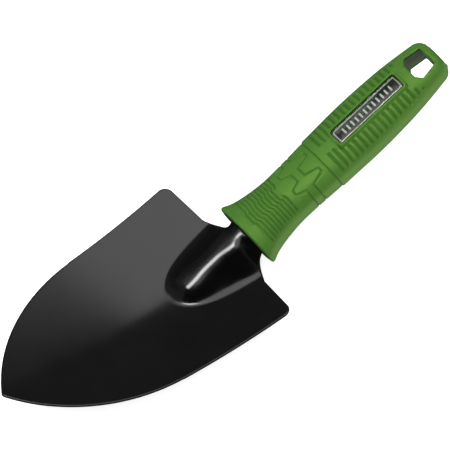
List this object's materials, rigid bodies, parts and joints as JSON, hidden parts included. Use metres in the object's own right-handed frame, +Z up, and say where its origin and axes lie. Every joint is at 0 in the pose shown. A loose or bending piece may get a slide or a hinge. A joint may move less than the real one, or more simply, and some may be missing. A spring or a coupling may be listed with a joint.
{
  "type": "hand trowel",
  "caption": "Hand trowel with a dished, pointed steel blade pressed in one piece with its neck, and a soft-grip plastic handle with a hang hole and a flush badge.",
  "frame": {"origin": "centre of the bottom of the trowel's box as it lies at rest, hollow side up, on the blade's belly and the grip's lip", "axes": "+X from the tip towards the handle's tail, +Y across the blade, +Z up, out of the blade's hollow side"},
  "size_m": [0.2966, 0.1058, 0.0626],
  "materials": {
    "powder_coat": "satin black powder coat on pressed steel",
    "core_plastic": "fine moulded texture, black",
    "grip_rubber": "satin soft-touch green",
    "label_foil": "gloss black print with a silver border",
    "dome_resin": "clear gloss resin"
  },
  "bodies": {
    "root": {"blade": "powder_coat", "handle_core": "core_plastic", "grip_sleeve": "grip_rubber", "badge_label": "label_foil", "badge_dome": "dome_resin"}
  },
  "joints": []
}
